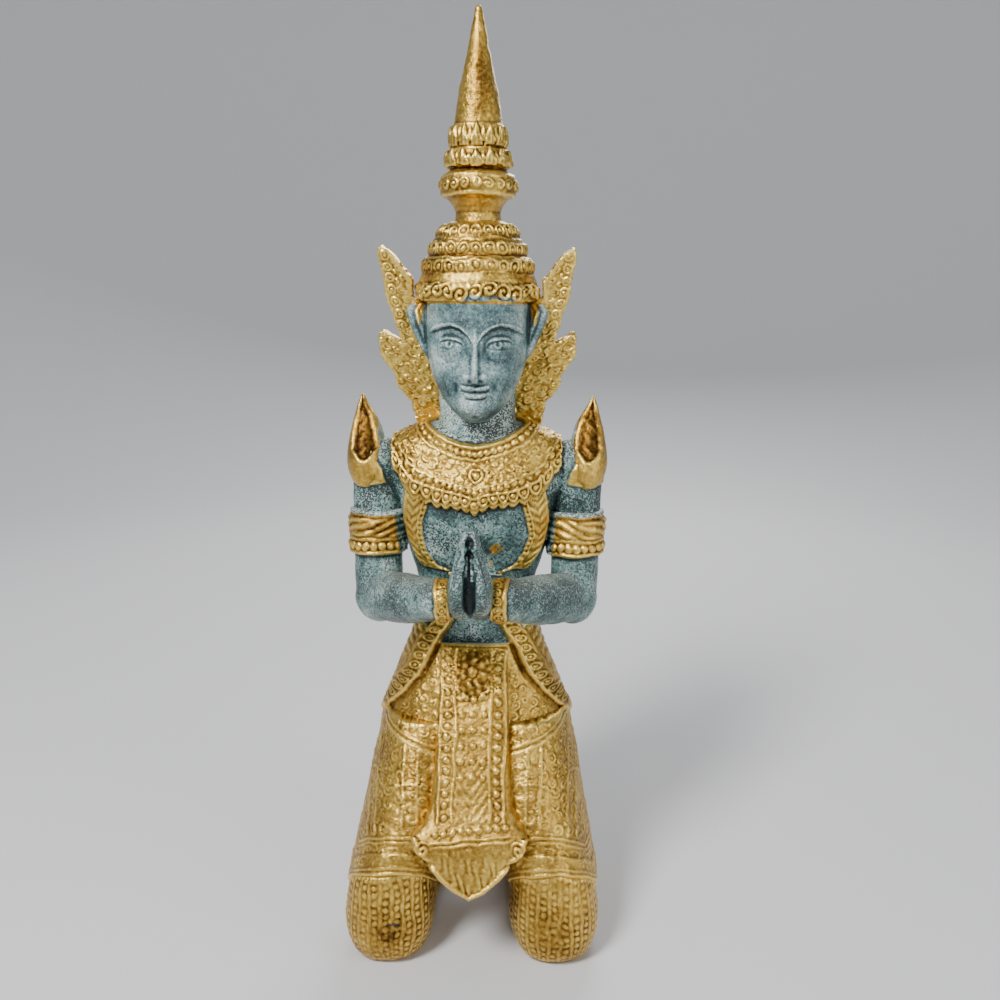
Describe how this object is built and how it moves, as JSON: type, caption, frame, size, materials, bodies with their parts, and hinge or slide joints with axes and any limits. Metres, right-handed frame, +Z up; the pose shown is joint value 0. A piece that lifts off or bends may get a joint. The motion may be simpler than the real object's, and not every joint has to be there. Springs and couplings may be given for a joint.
{
  "type": "kneeling thepphanom angel statue",
  "caption": "Kneeling thepphanom angel with joined hands, a tiered crown and a tall spire, cast in brass with gilded ornament and blue-green patina.",
  "frame": {"origin": "on the floor, under the centre of the figure's footprint box", "axes": "+Z up along the spire, the figure faces -Y, and its left hand is on +X"},
  "size_m": [0.0798, 0.0939, 0.2744],
  "materials": {
    "gilded_brass": "worn gold paint over cast brass, pale on the raised carving and brown in the recesses",
    "green_patina": "matte blue-green patina speckled with near-black pits and pale grey worn edges"
  },
  "bodies": {
    "root": {"angel_figure": "gilded_brass"}
  },
  "joints": []
}
